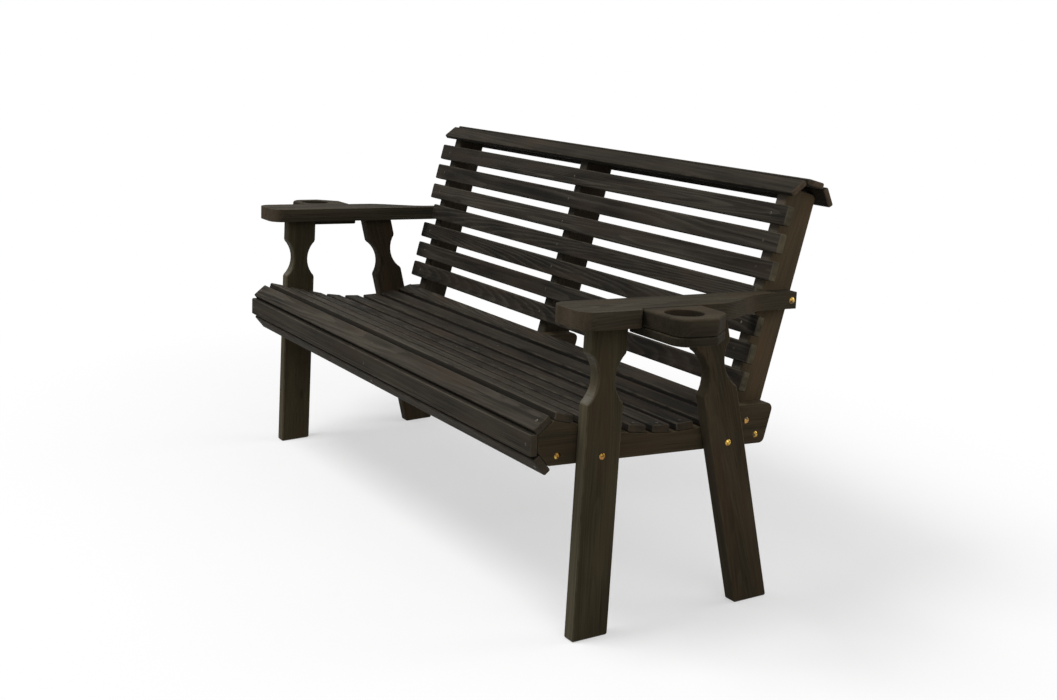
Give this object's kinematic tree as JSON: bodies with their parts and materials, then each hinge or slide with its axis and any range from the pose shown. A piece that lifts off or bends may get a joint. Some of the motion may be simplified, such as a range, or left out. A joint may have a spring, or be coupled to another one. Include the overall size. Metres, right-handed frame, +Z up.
{
  "type": "garden bench",
  "caption": "Slatted wooden garden bench with a dished seat, rolled nose and back, waisted legs, paddle arms and a cup holder outside each arm.",
  "frame": {"origin": "on the floor, under the middle of the bench's overall box", "axes": "+X along the bench towards a sitter's left, -Y out of the front of the seat, +Z up"},
  "size_m": [2.206, 0.7912, 0.9444],
  "materials": {
    "stained_frame": "dark brown-grey stain, matt",
    "stained_boards": "dark grey stain, matt",
    "zinc_bolts": "yellow zinc plating"
  },
  "bodies": {
    "root": {"arm_left": "stained_boards", "arm_right": "stained_boards", "back_slat_1": "stained_boards", "back_slat_2": "stained_boards", "back_slat_3": "stained_boards", "back_slat_4": "stained_boards", "back_slat_5": "stained_boards", "back_slat_6": "stained_boards", "back_slat_7": "stained_boards", "bolt_arm_left": "zinc_bolts", "bolt_arm_right": "zinc_bolts", "bolt_leg_front_left": "zinc_bolts", "bolt_leg_front_right": "zinc_bolts", "bolt_leg_rear_left": "zinc_bolts", "bolt_leg_rear_right": "zinc_bolts", "bolt_middle_lower": "zinc_bolts", "bolt_middle_upper": "zinc_bolts", "bolt_rail_nose_left": "zinc_bolts", "bolt_rail_nose_right": "zinc_bolts", "bolt_upright_lower_left": "zinc_bolts", "bolt_upright_lower_right": "zinc_bolts", "bolt_upright_upper_left": "zinc_bolts", "bolt_upright_upper_right": "zinc_bolts", "cap_board_front": "stained_boards", "cap_board_rear": "stained_boards", "cap_board_top": "stained_boards", "cup_block_left": "stained_boards", "cup_block_right": "stained_boards", "cup_plate_left": "stained_boards", "cup_plate_right": "stained_boards", "leg_front_left": "stained_frame", "leg_front_right": "stained_frame", "leg_rear_left": "stained_frame", "leg_rear_right": "stained_frame", "nose_slat_front": "stained_boards", "nose_slat_lower": "stained_boards", "nose_slat_upper": "stained_boards", "rail_left": "stained_frame", "rail_middle": "stained_frame", "rail_right": "stained_frame", "seat_slat_1": "stained_boards", "seat_slat_2": "stained_boards", "seat_slat_3": "stained_boards", "seat_slat_4": "stained_boards", "seat_slat_5": "stained_boards", "seat_slat_6": "stained_boards", "seat_slat_7": "stained_boards", "seat_slat_8": "stained_boards", "upright_left": "stained_frame", "upright_middle": "stained_frame", "upright_right": "stained_frame"}
  },
  "joints": []
}
